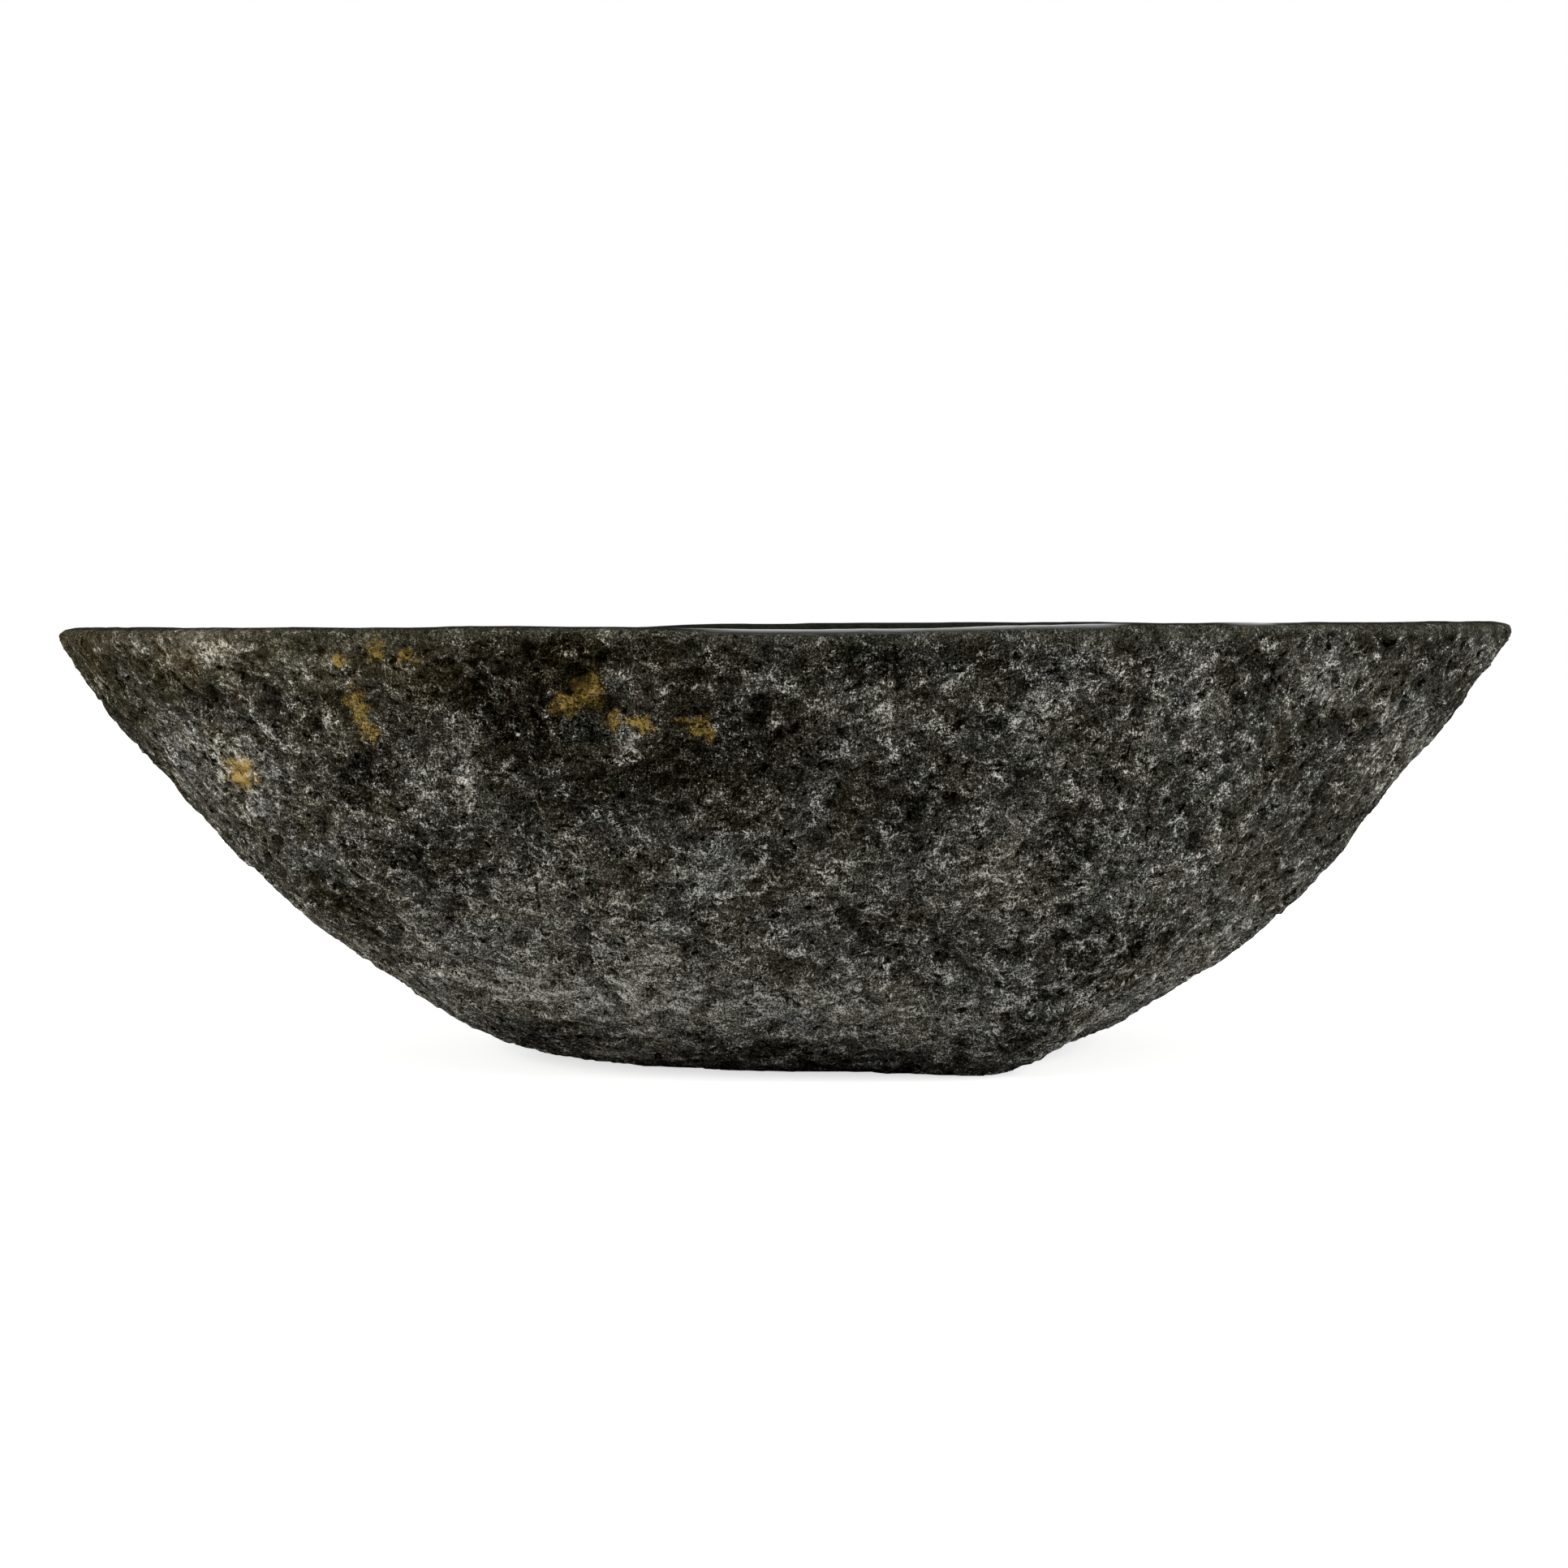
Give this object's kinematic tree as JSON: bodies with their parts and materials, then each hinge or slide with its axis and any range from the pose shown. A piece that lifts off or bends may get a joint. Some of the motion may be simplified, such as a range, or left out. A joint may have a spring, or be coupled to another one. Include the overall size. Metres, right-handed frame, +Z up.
{
  "type": "molcajete",
  "caption": "Wide, low, legless mortar hollowed from a rough river stone, with a ground lip, a flat foot and a loose hand stone lying in its hollow.",
  "frame": {"origin": "on the surface that the stone stands on, under the middle of its box", "axes": "+Z up, +X along the stone's length to the right, -Y the front"},
  "size_m": [0.38, 0.3, 0.113],
  "materials": {
    "river_stone": "rough river-worn rind outside, honed lip and hollow",
    "hand_stone": "pecked grip, grinding head worn smooth"
  },
  "bodies": {
    "mortar": {"mortar_bowl": "river_stone"},
    "hand_stone": {"tejolote": "hand_stone"}
  },
  "joints": [
    {"name": "tejolote_lift", "type": "slide", "parent": "mortar", "child": "hand_stone", "axis": [0, 0, 1], "range_m": [0, 0.15]}
  ]
}
